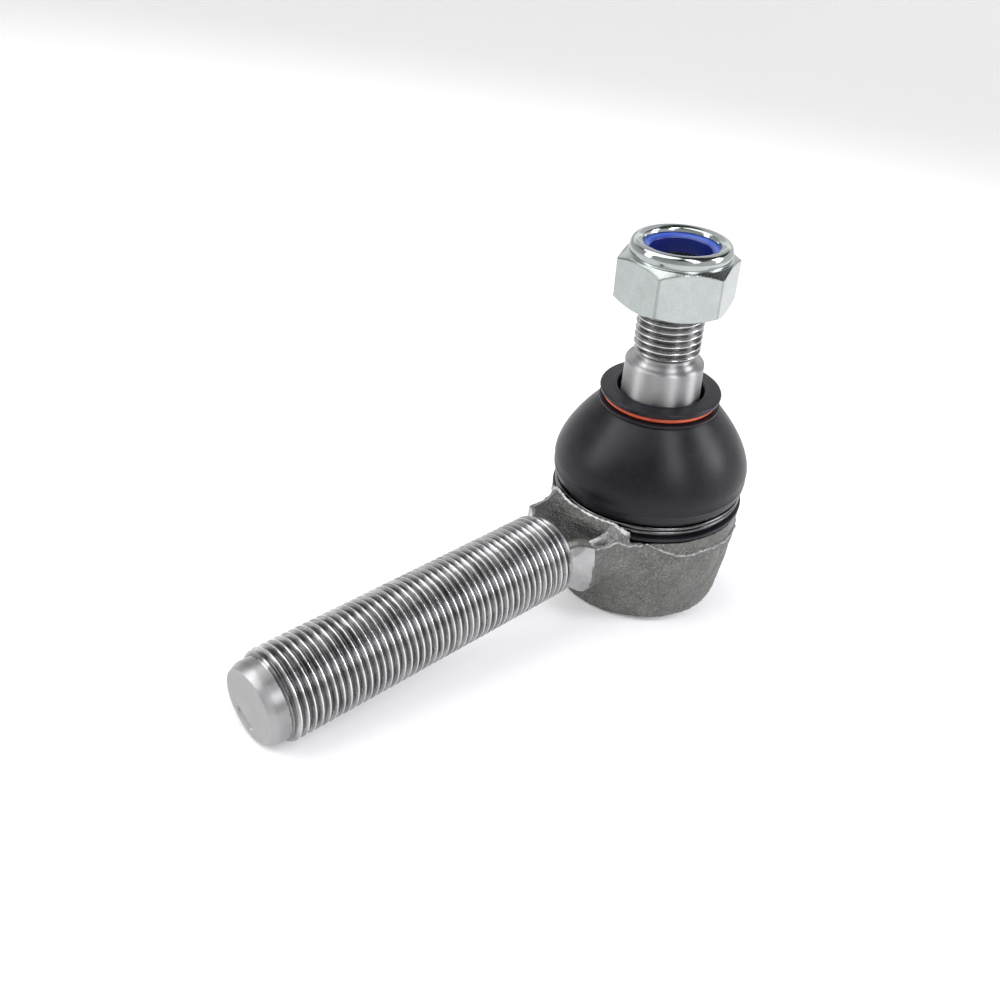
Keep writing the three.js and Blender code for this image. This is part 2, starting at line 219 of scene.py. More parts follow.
def threaded_bar(before, after, radius, start, end, facets=144):
    """A bar about Z whose middle carries a helical thread. before and after are its plain profiles."""
    share = len(THREAD_SHAPE)
    turns = int((end - start) / PITCH) + 3
    rows = share * turns
    index = np.arange(rows)
    turn = index // share - 1
    place = np.array([THREAD_SHAPE[k % share][0] for k in index])
    cut = np.array([THREAD_SHAPE[k % share][1] for k in index]) * THREAD_DEPTH
    angle = np.arange(facets) * 2 * math.pi / facets
    s = start + PITCH * (turn + place)[None, :] + PITCH * (angle / (2 * math.pi))[:, None]
    s = np.clip(s, start, end)
    chamfer = radius - THREAD_DEPTH - RUN_OUT + np.minimum(s - start, end - s)
    r = np.minimum(chamfer, radius - cut[None, :])
    grid = np.stack([r * np.cos(angle)[:, None], r * np.sin(angle)[:, None], s], -1)
    verts = [grid.reshape(-1, 3)]
    faces = []
    for i in range(facets):
        for k in range(rows - 1):
            if i < facets - 1:
                a, b = (i + 1) * rows + k, (i + 1) * rows + k + 1
            else:
                a, b = min(k + share, rows - 1), min(k + 1 + share, rows - 1)
            if a != b:
                faces.append((i * rows + k, a, b, i * rows + k + 1))
            else:
                faces.append((i * rows + k, a, i * rows + k + 1))
    ring = radius - THREAD_DEPTH - RUN_OUT
    for profile in (np.vstack([before, [[ring, start]]]), np.vstack([[[ring, end]], after])):
        more, quads = revolve(profile, facets)
        base = sum(len(v) for v in verts)
        verts.append(more)
        faces += [tuple(q + base for q in quad) for quad in quads]
    return np.vstack(verts), faces


def groove_depth(r, along, radius, span):
    """1 at a thread's root, 0 on its crest and -1 on the plain bar."""
    inside = (along > span[0] + 0.02) & (along < span[1] - 0.02)
    return np.where(inside, np.clip((radius - r) / THREAD_DEPTH, 0, 1), -1)


def along_shank(verts):
    """Turns points about Z into points about the shank's axis, height becoming distance along -X."""
    return np.stack([-verts[:, 2], verts[:, 0], BALL_Z + verts[:, 1]], 1)


# ------------------------------------------------------ distance-field helpers

def smooth_min(a, b, k):
    h = np.clip(0.5 + 0.5 * (b - a) / k, 0, 1)
    return b + (a - b) * h - k * h * (1 - h)


def smooth_max(a, b, k):
    return -smooth_min(-a, -b, k)


def polygon_distance(r, z, corners):
    """Signed distance from (r, z) to a closed polygon, negative inside."""
    best = np.full(r.shape, 1e9)
    inside = np.zeros(r.shape, bool)
    for (r0, z0), (r1, z1) in zip(corners, corners[1:] + corners[:1]):
        er, ez = r1 - r0, z1 - z0
        t = np.clip(((r - r0) * er + (z - z0) * ez) / (er * er + ez * ez), 0, 1)
        best = np.minimum(best, np.hypot(r - r0 - t * er, z - z0 - t * ez))
        if ez:
            crosses = ((z0 <= z) != (z1 <= z)) & (r < r0 + (z - z0) * er / ez)
            inside ^= crosses
    return np.where(inside, -best, best)


def noise(x, y, z, seed):
    """Smooth value noise between -1 and 1, repeating only after many cells."""
    table = np.random.default_rng(seed).uniform(-1, 1, (32, 32, 32))
    result = 0
    cell = [np.floor(v).astype(int) for v in (x, y, z)]
    part = [v - c for v, c in zip((x, y, z), cell)]
    part = [p * p * (3 - 2 * p) for p in part]
    for corner in range(8):
        bits = [corner >> n & 1 for n in range(3)]
        weight = 1
        for bit, p in zip(bits, part):
            weight = weight * (p if bit else 1 - p)
        result = result + weight * table[tuple((c + bit) % 32 for c, bit in zip(cell, bits))]
    return result


def surface_net(field, lowest, highest, step):
    """A quad mesh of field(x, y, z) = 0, one vertex for each cell that the surface crosses."""
    axes = [np.arange(a, b + step, step) for a, b in zip(lowest, highest)]
    x, y, z = np.meshgrid(*axes, indexing="ij")
    value = field(x, y, z)
    cells = tuple(n - 1 for n in value.shape)
    total = np.zeros(cells + (3,))
    count = np.zeros(cells)

    def corner(offset):
        return value[tuple(slice(o, o + n) for o, n in zip(offset, cells))]

    for axis in range(3):
        others = [n for n in range(3) if n != axis]
        for bits in range(4):
            start = [0, 0, 0]
            start[others[0]], start[others[1]] = bits & 1, bits >> 1
            end = list(start)
            end[axis] = 1
            a, b = corner(start), corner(end)
            crossed = (a < 0) != (b < 0)
            t = np.where(crossed, a / np.where(crossed, a - b, 1), 0)
            point = np.stack([np.where(crossed, start[n] + (t if n == axis else 0), 0)
                              for n in range(3)], -1)
            total += point
            count += crossed
    active = count > 0
    number = np.full(cells, -1)
    number[active] = np.arange(active.sum())
    where = np.argwhere(active)
    verts = np.array(lowest) + (where + total[active] / count[active][:, None]) * step
    faces = []
    for axis in range(3):
        u, v = [n for n in range(3) if n != axis]
        a = value[tuple(slice(0, -1) if n == axis else slice(1, -1) for n in range(3))]
        b = value[tuple(slice(1, None) if n == axis else slice(1, -1) for n in range(3))]
        for place in np.argwhere((a < 0) != (b < 0)):
            base = place.copy()
            base[u] += 1
            base[v] += 1
            quad = []
            for du, dv in ((0, 0), (1, 0), (1, 1), (0, 1)):
                cell = base.copy()
                cell[u] -= du
                cell[v] -= dv
                quad.append(int(number[tuple(cell)]))
            faces.append(tuple(quad))
    for _ in range(2):
        verts = to_surface(field, verts, step)
    return verts, faces


def to_surface(field, verts, step):
    """Moves points along the field's slope onto its zero surface, by at most half a step."""
    x, y, z = verts.T
    here = field(x, y, z)
    d = 0.02
    slope = np.stack([field(x + d, y, z) - here, field(x, y + d, z) - here,
                      field(x, y, z + d) - here], -1) / d
    size = np.maximum((slope ** 2).sum(-1), 0.25)
    move = np.clip(here / size, -0.4 * step, 0.4 * step)
    return verts - slope * move[:, None]


# -------------------------------------------------------------------- materials

class Nodes:
    """A material's node tree, with short calls to add and join nodes."""

    def __init__(self, name, **values):
        self.material = bpy.data.materials.new(name)
        self.material.use_nodes = True
        self.tree = self.material.node_tree
        self.shader = self.tree.nodes["Principled BSDF"]
        for key, value in values.items():
            self.shader.inputs[key.replace("_", " ")].default_value = value

    def add(self, kind, inputs=(), **settings):
        node = self.tree.nodes.new("ShaderNode" + kind)
        for key, value in settings.items():
            setattr(node, key, value)
        for key, value in dict(inputs).items():
            if isinstance(value, bpy.types.NodeSocket):
                self.tree.links.new(value, node.inputs[key])
            else:
                node.inputs[key].default_value = value
        return node

    def link(self, output, key):
        self.tree.links.new(output, self.shader.inputs[key])

    def place(self):
        """Object coordinates, in metres."""
        return self.add("TexCoord").outputs["Object"]

    def noise(self, scale, detail=3.0, rough=0.6, stretch=(1, 1, 1), distortion=0.0):
        """Noise with scale features to the metre, stretched along an axis where that is below 1."""
        moved = self.add("Mapping", {"Vector": self.place(), "Scale": stretch})
        return self.add("TexNoise", {"Vector": moved.outputs["Vector"], "Scale": scale,
                                     "Detail": detail, "Roughness": rough,
                                     "Distortion": distortion}).outputs["Fac"]

    def cells(self, scale, feature="F1"):
        return self.add("TexVoronoi", {"Vector": self.place(), "Scale": scale},
                        feature=feature).outputs["Distance"]

    def math(self, operation, a, b=0.0, c=0.0):
        return self.add("Math", {0: a, 1: b, 2: c}, operation=operation).outputs[0]

    def ramp(self, value, low_in, high_in, low_out, high_out):
        return self.add("MapRange", {"Value": value, "From Min": low_in, "From Max": high_in,
                                     "To Min": low_out, "To Max": high_out}).outputs["Result"]

    def mix(self, factor, a, b):
        node = self.add("Mix", data_type="RGBA")
        for key, value in ((0, factor), (6, a), (7, b)):
            if isinstance(value, bpy.types.NodeSocket):
                self.tree.links.new(value, node.inputs[key])
            else:
                node.inputs[key].default_value = value
        return node.outputs[2]

    def along(self, axis):
        parts = self.add("SeparateXYZ", {0: self.place()})
        return parts.outputs[axis]

    def bump(self, *layers):
        """Joins (height, depth in millimetres) layers into one normal."""
        normal = None
        for height, depth in layers:
            inputs = {"Height": height, "Strength": 1.0, "Distance": depth * MM}
            if normal is not None:
                inputs["Normal"] = normal
            normal = self.add("Bump", inputs).outputs["Normal"]
        self.link(normal, "Normal")


def grey(level, warm=0.0):
    return (level * (1 + warm), level, level * (1 - warm), 1)


def forged_look():
    """Shot-blasted forging, with turned surfaces where the attribute turned is 1. The attribute
    trimmed is 1 on bright sheared edges, partly a painted highlight, and -1 where creases are painted
    in shade."""
    n = Nodes("forged_steel", Metallic=1.0)
    turned = n.add("Attribute", attribute_name="turned").outputs["Fac"]
    trimmed = n.add("Attribute", attribute_name="trimmed").outputs["Fac"]
    plain = n.math("SUBTRACT", 1.0, turned)
    broad = n.noise(260, 4, 0.6)
    grain = n.noise(2300, 3, 0.7)
    pits = n.cells(2000)
    blotch = n.noise(70, 3, 0.55)
    colour = n.mix(n.ramp(broad, 0.3, 0.7, 0, 1), (0.112, 0.114, 0.106, 1), (0.176, 0.178, 0.166, 1))
    colour = n.mix(n.ramp(grain, 0.48, 0.75, 0, 0.8), colour, grey(0.40, 0.01))
    colour = n.mix(n.ramp(pits, 0.35, 0.05, 0, 0.8), colour, grey(0.05, 0.03))
    colour = n.mix(n.ramp(blotch, 0.5, 0.72, 0, 0.45), colour, (0.09, 0.08, 0.066, 1))
    # Painted shade: the crease over the parting line and the neck's flat top are darkened.
    colour = n.mix(n.ramp(trimmed, -0.1, -1, 0, 0.8), colour, grey(0.03))
    # Bright sheared metal, partly a painted highlight: the flash line and the rim round the collar are
    # lightened.
    colour = n.mix(n.ramp(trimmed, 0.1, 1, 0, 0.85), colour, grey(0.62))
    bright = n.mix(n.ramp(broad, 0.3, 0.7, 0, 1), grey(0.31), grey(0.44))
    n.link(n.mix(turned, colour, bright), "Base Color")
    rough = n.ramp(grain, 0.3, 0.7, 0.4, 0.55)
    smooth = n.ramp(broad, 0.3, 0.7, 0.15, 0.24)
    n.link(n.math("ADD", n.math("MULTIPLY", smooth, turned), n.math("MULTIPLY", rough, plain)),
           "Roughness")
    n.bump((n.math("MULTIPLY", grain, plain), 0.14), (n.math("MULTIPLY", pits, plain), 0.1),
           (n.math("MULTIPLY", broad, plain), 0.25))
    return n.material


def rolled_look(name, axis, crest, plain, root):
    """Turned and rolled steel. The attribute groove is -2 on an end face, -1 on the plain bar, 0 on
    a crest and 1 at a root. The crest colour is partly a painted highlight and the root colour is
    painted shade. Tool marks round the axis stretch its highlights along the axis."""
    n = Nodes(name, Metallic=1.0, Anisotropic_Rotation=0.25)
    n.link(n.add("Tangent", direction_type="RADIAL", axis=axis).outputs[0], "Tangent")
    groove = n.add("Attribute", attribute_name="groove").outputs["Fac"]
    n.link(n.ramp(groove, -2, -1, 0, 0.95), "Anisotropic")
    stretch = tuple(1.0 if "XYZ"[k] == axis else 0.12 for k in range(3))
    lines = n.noise(5200, 2, 0.6, stretch)
    streaks = n.noise(1100, 3, 0.7, stretch)
    patches = n.noise(160, 3, 0.6)
    # The lighter crest colour is partly burnished metal and partly a painted highlight.
    colour = n.mix(n.ramp(groove, -0.9, 0.0, 0, 1), grey(plain), grey(crest))
    flank = n.mix(n.ramp(streaks, 0.38, 0.62, 0, 1), grey(0.6 * plain), grey(1.25 * plain))
    colour = n.mix(n.ramp(groove, 0.01, 0.07, 0, 1), colour, flank)
    # Painted shade: the thread's roots are darkened.
    colour = n.mix(n.ramp(groove, 0.5, 0.98, 0, 0.9), colour, grey(root))
    colour = n.mix(n.ramp(patches, 0.5, 0.75, 0, 0.25), colour, grey(0.5 * plain, 0.03))
    n.link(colour, "Base Color")
    base = n.ramp(groove, -0.9, 0.0, 0.4, 0.2)
    n.link(n.math("ADD", base, n.ramp(streaks, 0.35, 0.65, 0.0, 0.1)), "Roughness")
    n.bump((lines, 0.008), (streaks, 0.015), (patches, 0.02))
    return n.material


def zinc_look():
    n = Nodes("zinc_plate", Metallic=1.0)
    cloud = n.noise(300, 4, 0.6)
    fine = n.noise(2600, 3, 0.6)
    edge = n.add("Attribute", attribute_name="edge").outputs["Fac"]
    colour = n.mix(n.ramp(cloud, 0.3, 0.7, 0, 1), (0.36, 0.39, 0.375, 1), (0.42, 0.45, 0.44, 1))
    # Painted shade: the edge attribute darkens thin lines beside the hexagon's corners and along its
    # chamfer arcs.
    n.link(n.mix(n.math("MULTIPLY", edge, 0.75), colour, (0.12, 0.12, 0.11, 1)), "Base Color")
    crown = n.ramp(n.along("Z"), (NUT_HEX_TOP_Z - 0.2) * MM, (NUT_HEX_TOP_Z + 0.6) * MM, 1, 0)
    base = n.ramp(cloud, 0.3, 0.7, 0.08, 0.13)
    n.link(n.math("ADD", base, n.math("MULTIPLY", crown, n.ramp(fine, 0.3, 0.7, 0.1, 0.2))),
           "Roughness")
    n.bump((fine, 0.003), (cloud, 0.02))
    return n.material


def rubber_look():
    n = Nodes("boot_rubber", Specular_IOR_Level=0.23)
    cloud = n.noise(120, 4, 0.6)
    fine = n.noise(2400, 3, 0.6)
    dust = n.noise(420, 5, 0.7)
    colour = n.mix(n.ramp(cloud, 0.35, 0.7, 0, 1), (0.006, 0.0055, 0.0075, 1),
                   (0.012, 0.011, 0.0145, 1))
    colour = n.mix(n.ramp(dust, 0.62, 0.8, 0, 0.25), colour, (0.05, 0.048, 0.05, 1))
    n.link(colour, "Base Color")
    n.link(n.ramp(cloud, 0.3, 0.7, 0.3, 0.4), "Roughness")
    n.bump((fine, 0.012), (cloud, 0.1))
    return n.material


def ring_look():
    n = Nodes("neck_ring", Roughness=0.38)
    fine = n.noise(1800, 3, 0.6)
    broad = n.noise(240, 3, 0.6)
    n.link(n.mix(n.ramp(broad, 0.3, 0.7, 0, 1), (0.42, 0.045, 0.015, 1), (0.58, 0.105, 0.035, 1)),
           "Base Color")
    n.bump((fine, 0.01),)
    return n.material


def nylon_look():
    n = Nodes("nylon", Specular_IOR_Level=0.5)
    fine = n.noise(1500, 3, 0.6)
    # Painted highlight and shade: lighter blue towards the insert's top rim, deep blue lower down in
    # its bore.
    height = n.ramp(n.along("Z"), (INSERT_TOP_Z - 0.75) * MM, (INSERT_TOP_Z - 0.1) * MM, 0, 1)
    n.link(n.mix(height, (0.004, 0.012, 0.13, 1), (0.035, 0.085, 0.42, 1)), "Base Color")
    n.link(n.ramp(fine, 0.3, 0.7, 0.3, 0.42), "Roughness")
    n.bump((fine, 0.015),)
    return n.material


def wire_look():
    n = Nodes("clip_wire", Metallic=1.0, Roughness=0.22)
    fine = n.noise(900, 3, 0.6)
    n.link(n.mix(n.ramp(fine, 0.3, 0.7, 0, 1), grey(0.09), grey(0.15)), "Base Color")
    n.bump((fine, 0.004),)
    return n.material


def cover_look():
    n = Nodes("cover_steel", Metallic=1.0)
    lines = n.noise(2600, 2, 0.6)
    cloud = n.noise(140, 4, 0.6)
    colour = n.mix(n.ramp(cloud, 0.3, 0.7, 0, 1), grey(0.42, 0.03), grey(0.56, 0.02))
    n.link(colour, "Base Color")
    n.link(n.ramp(cloud, 0.3, 0.7, 0.32, 0.46), "Roughness")
    n.bump((lines, 0.015), (cloud, 0.05))
    return n.material


def seat_look():
    n = Nodes("seat_plastic", Roughness=0.4)
    cloud = n.noise(180, 4, 0.6)
    fine = n.noise(1800, 3, 0.6)
    n.link(n.mix(n.ramp(cloud, 0.3, 0.7, 0, 1), (0.72, 0.69, 0.60, 1), (0.82, 0.80, 0.73, 1)),
           "Base Color")
    n.bump((fine, 0.02),)
    return n.material


# ----------------------------------------------------------------- the forging

NECK_TOP_Z = 25.7
RIM_R = 22.15  # outside of the turned edge round the boot's collar
NECK_HALF_WIDTH = 10.1
NECK_LOW_Z = 11.0
RELIEF_FROM = 31.2  # by distance from the stud axis
FILLET_R = 4.6
TURNED_END = RELIEF_FROM - FILLET_R + 0.05
SHANK_CUT = 31.5  # the forging's own mesh ends here, inside the shank's
BODY_R = 20.05
BODY_Z = 11.0
SPIGOT_R = 17.4
BEAD_R = 18.1  # the spigot's bead, which holds the boot's collar
COLLAR_ROOM_R = 21.55
MOUTH_R = 12.9
SEAT_GAP = 0.35
# The trimmed land passes through this place beside the neck, and faces this way.
LAND_Y, LAND_Z = 10, 24.2
LAND_OUTWARD, LAND_UPWARD = 0.62, 0.78

# Height of the parting line, by angle from the shank's side of the housing.
PARTING_DEG = [0, 21, 24, 27, 32, 38, 43, 54, 61, 68, 78, 93, 130, 180]
PARTING_Z = [24.3, 24.5, 23.9, 24.0, 22.8, 22.8, 23.2, 21.2, 20.1, 19.4, 19.9, 19.3, 18.5, 18.5]


def turned_radius(x):
    """Radius of the turned end of the neck: the relief, then a fillet up to the forging."""
    along = np.clip(RELIEF_FROM + x, 0, FILLET_R)
    return RELIEF_R + FILLET_R - np.sqrt(np.maximum(FILLET_R ** 2 - along ** 2, 0))


def neck_field(x, y, z):
    top = z - NECK_TOP_Z
    side = np.abs(y) - (NECK_HALF_WIDTH - 0.07 * np.abs(z - 22))
    section = np.maximum(smooth_max(top, side, 0.35), land_height(x, y, z))
    section = smooth_max(section, NECK_LOW_Z - z, 6.0)
    return np.maximum(section, np.maximum(-x - 40, x + 6))


def parting_gap(x, y, z):
    """Height above the parting line, which wanders a little where the flash was trimmed."""
    degrees = np.degrees(np.arctan2(np.abs(y), -x))
    line = np.interp(degrees, PARTING_DEG, PARTING_Z)
    return z - line - 0.2 * noise(x * 1.2, y * 1.2, 0 * z, 12)


def flash_height(x, y, z):
    """How far the trimmed flash and the lower die's half stand out."""
    gap = parting_gap(x, y, z)
    ridge = np.exp(-(((gap + 0.15) / 0.28) ** 2))
    ridge = ridge * (0.25 + 0.25 * noise(x * 1.3, y * 1.3, z * 1.3, 13))
    return ridge + 0.22 / (1 + np.exp(gap / 0.08))


def land_height(x, y, z):
    """Height above the sloping trimmed land along the neck's upper edges."""
    return LAND_OUTWARD * (np.abs(y) - LAND_Y) + LAND_UPWARD * (z - LAND_Z)


def trim_and_painted_light_mark(x, y, z):
    """1 on sheared or turned edges, partly a painted highlight, and -1 for painted shade in the crease
    just over the parting line; the neck's top is painted shade at -0.65 or below.
    """
    gap = parting_gap(x, y, z)
    patchy = np.clip(0.8 + 0.6 * noise(x * 1.5, y * 1.5, z * 1.5, 16), 0, 1)
    # The sheared flash line: bright metal, partly a painted highlight of the ridge's lit top.
    bright = np.exp(-(((gap + 0.2) / 0.22) ** 2)) * patchy
    # Painted shade in the crease just over the parting line.
    dark = np.exp(-(((gap - 0.22) / 0.16) ** 2)) * patchy
    mark_value = bright - dark
    land = np.exp(-((land_height(x, y, z) / 0.3) ** 2)) * (x < -16) * (gap > 0)
    streaky = 0.2 + 0.3 * noise(x * 0.5, y * 4, z * 4, 17)
    upper_edge = 0.45 * np.exp(-(((NECK_TOP_Z - z - 0.1) / 0.25) ** 2)) * (np.abs(y) > 7)
    mark_value = mark_value + land * (streaky + upper_edge)
    # Painted highlight, partly the turned edge's bright metal: the rim round the collar is set fully
    # bright.
    rim = (np.hypot(x, y) < RIM_R) & (z > NECK_TOP_Z - 0.5)
    # Painted shade: the neck's flat top is darkened.
    painted_shade_top = (z > NECK_TOP_Z - 0.3) & (np.abs(y) < 8.2)
    mark_value = np.where(painted_shade_top, np.minimum(mark_value, -0.65), mark_value)
    return np.clip(np.where(rim, 1, mark_value), -1, 1)


def forging_field(x, y, z):
    r = np.hypot(x, y)
    outline = [(-1, BASE_Z), (BASE_R - 1.6, BASE_Z), (BASE_R - 0.35, BASE_Z + 0.5),
               (BASE_R, BASE_Z + 1.8), (BODY_R, BODY_Z), (LEDGE_R - 0.3, LEDGE_Z - 4),
               (LEDGE_R - 0.1, 26.5), (17.2, 29.0), (16.3, SPIGOT_TOP_Z), (-1, SPIGOT_TOP_Z)]
    d = smooth_min(polygon_distance(r, z, outline), neck_field(x, y, z), 5.0)
    d = d - flash_height(x, y, z)
    d = d - 0.15 * noise(x * 0.3, y * 0.3, z * 0.3, 14) - 0.07 * noise(x * 1.2, y * 1.2, z * 1.2, 15)
    return np.maximum(d, machined_field(x, y, z))


def machined_field(x, y, z):
    """Positive where a cutting tool has removed metal."""
    r = np.hypot(x, y)
    shank_r = np.hypot(y, z - BALL_Z)
    fillet = np.where(x < -TURNED_END, shank_r - turned_radius(x), -1)
    far_end = -x - SHANK_CUT
    spigot = [(SPIGOT_R, LEDGE_Z), (COLLAR_ROOM_R, LEDGE_Z), (COLLAR_ROOM_R, 40), (-1, 40),
              (-1, SPIGOT_TOP_Z), (SPIGOT_R - 1.0, SPIGOT_TOP_Z),
              (BEAD_R, 28.2), (BEAD_R, 27.1), (SPIGOT_R, 26.8)]
    base = BASE_Z + 0.05 - z
    socket = socket_outline()
    cuts = np.maximum(-polygon_distance(r, z, spigot), -polygon_distance(r, z, socket))
    return np.maximum(np.maximum(cuts, base), np.maximum(fillet, far_end))


def socket_outline():
    """The bore from the cover's counterbore up to the mouth, as the frame has it."""
    bore_r = high("upper_ball_seat")[0] + SEAT_GAP
    cover_r = high("cover_plate")[0] + SEAT_GAP
    boss_r = COVER_BOSS_R + SEAT_GAP
    cover_top = high("cover_plate")[2]
    dome = arc(0, BALL_Z, bore_r, 0, 37, 10)
    return [(-1, -2), (boss_r, -2), (boss_r, BASE_Z + 1.4),
            (cover_r, BASE_Z + 1.4), (cover_r, cover_top + 0.3), (bore_r, cover_top + 0.3),
            *[tuple(p) for p in dome], (MOUTH_R, SPIGOT_TOP_Z), (MOUTH_R, 34), (-1, 34)]


def build_forging(material):
    """The forging's mesh. Its attribute turned is kept off the outside above the ledge."""
    step = 0.32
    verts, faces = surface_net(forging_field, (-33.5, -21.5, -0.2), (21.5, 21.5, 31.2), step)
    obj = make("housing_forging", verts, faces, material, "housing_body", sharp=50)
    mark(obj, "trimmed", trim_and_painted_light_mark)
    mark(obj, "turned", lambda x, y, z: np.where(
        (z > LEDGE_Z + 1.2) & (np.hypot(x, y) > 20), 0,
        np.clip(1.3 - np.abs(machined_field(x, y, z)) / 0.1, 0, 1)))
    return obj


# --------------------------------------------------------- shank, stud and nut

SLOT_Y = 2.0
SLOT_Z = BALL_Z - 4.3
SLOT_LEAN = math.radians(27)
SLOT_HALF_LENGTH = 1.9  # between the centres of its round ends
SLOT_HALF_WIDTH = 0.45  # of its flat bottom
SLOT_SIDE = 0.35  # across each sloping side
SLOT_DEPTH = 0.9


def slot_depth(y, z):
    """A short stamped slot near the edge of the shank's end face, by place on the face."""
    along = (y - SLOT_Y) * math.cos(SLOT_LEAN) + (z - SLOT_Z) * math.sin(SLOT_LEAN)
    across = -(y - SLOT_Y) * math.sin(SLOT_LEAN) + (z - SLOT_Z) * math.cos(SLOT_LEAN)
    away = np.hypot(np.maximum(np.abs(along) - SLOT_HALF_LENGTH, 0), across)
    return SLOT_DEPTH * (1 - np.clip((away - SLOT_HALF_WIDTH) / SLOT_SIDE, 0, 1))


def build_shank(material):
    """Relief, thread, tip and end face, turned about Z and then laid along the shank."""
    start, end = SHANK_THREAD
    before = rounded([(0, RELIEF_FROM, 0), (RELIEF_R, RELIEF_FROM, 0.2),
                      (RELIEF_R + 0.05, start, 0)])
    tip = rounded([
        (SHANK_TIP_R - 0.02, end, 0), (SHANK_TIP_R - 0.02, end + 0.5, 0.3),
        (SHANK_TIP_R + 0.02, SHANK_END - 1.7, 1.6),
        (7.2, SHANK_END, 0.22), (6.6, SHANK_END, 0),
    ])
    face = filled(np.array([(6.6, SHANK_END), (0, SHANK_END)]), 0.12)
    verts, faces = threaded_bar(before, np.vstack([tip, face[1:]]), SHANK_THREAD_R, start, end)
    verts = along_shank(verts)
    on_face = verts[:, 0] < -SHANK_END + 0.001
    verts[on_face, 0] += slot_depth(verts[on_face, 1], verts[on_face, 2])
    shank = make("threaded_shank", verts, faces, material, "housing_body", sharp=60)
    mark(shank, "groove", lambda x, y, z: np.where(-x > SHANK_END - 1, -2, groove_depth(
        np.hypot(y, z - BALL_Z), -x, SHANK_THREAD_R, SHANK_THREAD)))
    return shank


def build_stud(material):
    """Ball, neck, seat, shoulder and thread."""
    neck_r = 6.5
    neck_z = BALL_Z + math.sqrt(BALL_R ** 2 - neck_r ** 2)
    ball = arc(0, BALL_Z, BALL_R, -90, math.degrees(math.atan2(neck_z - BALL_Z, neck_r)), 60)
    neck = rounded([
        (neck_r, neck_z, 0), (neck_r, 36, 2), (8.68, 41, 2), (8.5, 46, 0),
        (8.3, SHOULDER_Z, 0.75), (7.2, SHOULDER_Z + 0.2, 0.5), (6.7, SHOULDER_Z + 0.9, 0.5),
        (6.1, SHOULDER_Z + 1.1, 0.3), (5.96, STUD_THREAD[0], 0),
    ], 0.15)
    before = filled(np.vstack([ball, neck[1:]]), 0.9)
    after = rounded([(5.9, STUD_END_Z - 0.4, 0), (5.5, STUD_END_Z, 0.2), (0, STUD_END_Z, 0)])
    verts, faces = threaded_bar(before, after, STUD_THREAD_R, *STUD_THREAD)
    stud = make("ball_stud_turned", verts, faces, material, "stud", sharp=60)
    mark(stud, "groove", lambda x, y, z: groove_depth(
        np.hypot(x, y), z, STUD_THREAD_R, STUD_THREAD))
    return stud


def corner_angle(angle):
    """Angle from the hexagon's nearest corner."""
    return np.mod(angle - NUT_TURN + math.pi / 6, math.pi / 3) - math.pi / 6


def hexagon_radius(angle):
    return NUT_FLATS / 2 / np.cos(math.pi / 6 - np.abs(corner_angle(angle)))


def chamfer_radius(end_r, height):
    """Radius of a chamfer's cone at a height from the end where it is end_r."""
    return end_r + height / math.tan(math.radians(NUT_CHAMFER_DEG))


def nut_radius(angle, z):
    """Radius of the hexagon with its corner chamfers, before the crown."""
    hexagon = hexagon_radius(angle)
    hexagon = smooth_min(hexagon, NUT_CORNER_R, 0.12)
    lower = chamfer_radius(NUT_CHAMFER_LOW_R, z - NUT_LOW_Z)
    upper = chamfer_radius(NUT_CHAMFER_TOP_R, NUT_HEX_TOP_Z - z)
    return smooth_min(hexagon, np.minimum(lower, upper), 0.14)


def nut_edge_painted_shade(x, y, z):
    """1 in the lines of painted shade where the flats meet each other and their chamfers."""
    angle = np.arctan2(y, x)
    hexagon = hexagon_radius(angle)
    chamfer = chamfer_radius(NUT_CHAMFER_TOP_R, NUT_HEX_TOP_Z - z)
    side = z < NUT_HEX_TOP_Z - 0.3
    from_corner = np.abs(corner_angle(angle)) * NUT_CORNER_R
    along_corner = np.exp(-((from_corner - 0.16) / 0.1) ** 2) * 0.7
    along_arc = np.exp(-(((chamfer - hexagon) / 0.3) ** 2))
    return np.where(side, np.maximum(along_corner * (chamfer > hexagon), along_arc), 0)


